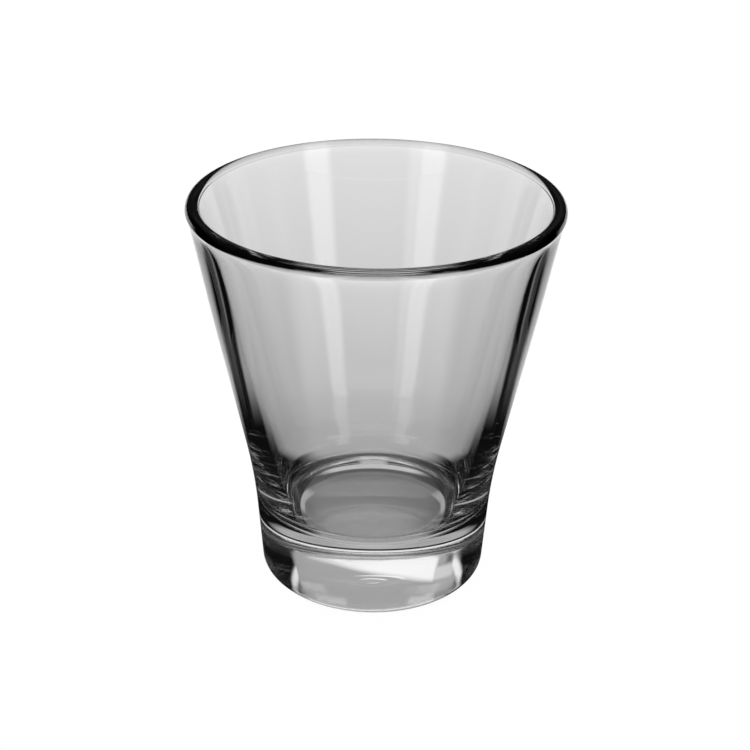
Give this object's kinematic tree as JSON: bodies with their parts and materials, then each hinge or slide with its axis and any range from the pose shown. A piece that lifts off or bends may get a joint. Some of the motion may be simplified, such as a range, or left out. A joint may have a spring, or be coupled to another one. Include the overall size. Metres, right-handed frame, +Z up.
{
  "type": "cortado glass",
  "caption": "Clear pressed-glass tumbler for a short coffee: a flared round wall rising from a thick solid foot to a rounded rim, open at the top",
  "frame": {"origin": "centre of the foot, in the plane of the table that the glass stands on", "axes": "+Z runs up the axis of the glass towards the open rim; X and Y lie in the plane of the table and are alike, as the glass is round"},
  "size_m": [0.0722, 0.0722, 0.08],
  "materials": {
    "clear_glass": "clear, fire-polished, smooth"
  },
  "bodies": {
    "root": {"tumbler": "clear_glass"}
  },
  "joints": []
}
